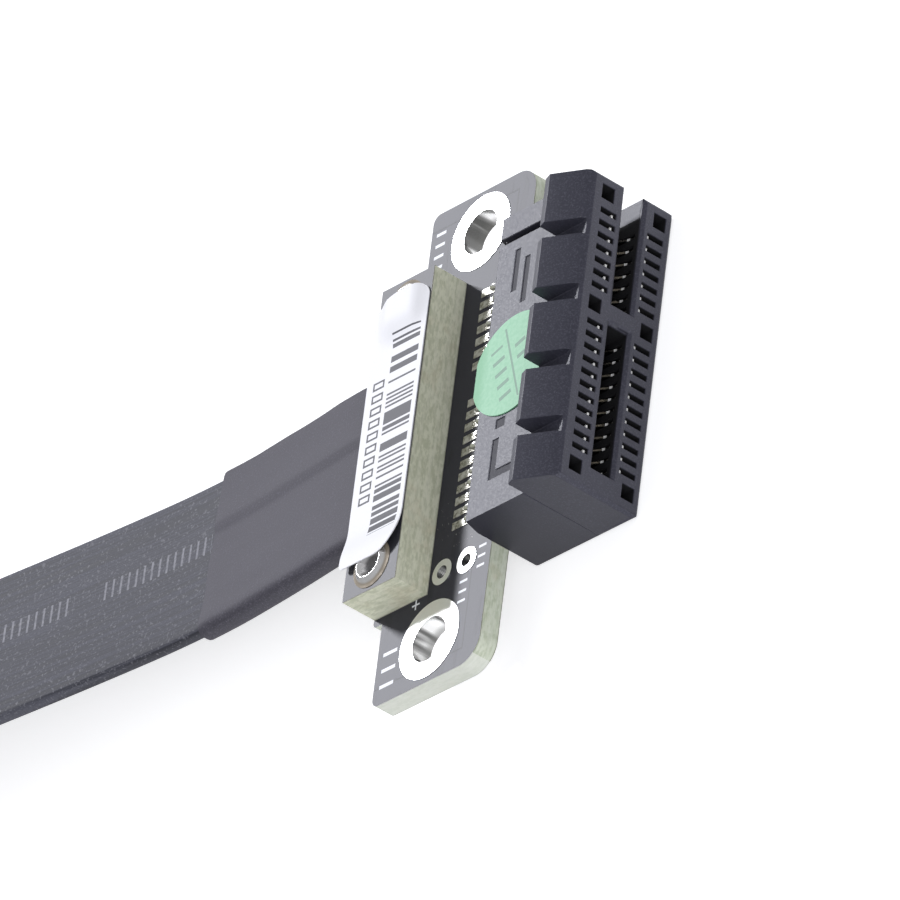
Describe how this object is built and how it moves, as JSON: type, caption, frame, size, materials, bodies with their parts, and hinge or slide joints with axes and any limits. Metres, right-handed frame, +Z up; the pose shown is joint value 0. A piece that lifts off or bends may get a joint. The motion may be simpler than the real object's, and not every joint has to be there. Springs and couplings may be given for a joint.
{
  "type": "pcie extension cable",
  "caption": "Flat ribbon riser cable: an open-ended card socket on a small board with mounting holes, and a plug board with an edge tab.",
  "frame": {"origin": "on the floor plane, under the middle of the socket end (board, socket and label together, without the cable and plug)", "axes": "+X out of the socket's mouth, +Y toward the socket's open end, +Z up"},
  "size_m": [0.198, 0.0402, 0.0089],
  "materials": {
    "housing": "matte moulded",
    "contact": "gold plated",
    "solder": "tinned",
    "mask": "satin solder mask",
    "cover": "satin",
    "paper": "matte paper",
    "sticker": "matte paper",
    "cable": "satin film",
    "sleeve": "satin shrink tube"
  },
  "bodies": {
    "root": {"socket_housing": "housing", "contacts_upper": "contact", "contacts_lower": "contact", "pads_upper": "solder", "pads_lower": "solder", "main_board": "mask", "hole_plating_open_end": "solder", "hole_plating_closed_end": "solder", "small_plating_cable_side": "solder", "small_plating_socket_side": "solder", "cover_plate": "cover", "cover_pin_open_end": "solder", "cover_pin_closed_end": "solder", "label": "paper", "round_sticker": "sticker", "ribbon_cable": "cable", "shrink_sleeve_socket_end": "sleeve", "shrink_sleeve_plug_end": "sleeve", "plug_board": "mask", "plug_fingers_upper": "contact", "plug_fingers_lower": "contact", "plug_cover_plate": "cover", "plug_cover_pin_open_side": "solder", "plug_cover_pin_closed_side": "solder"}
  },
  "joints": []
}
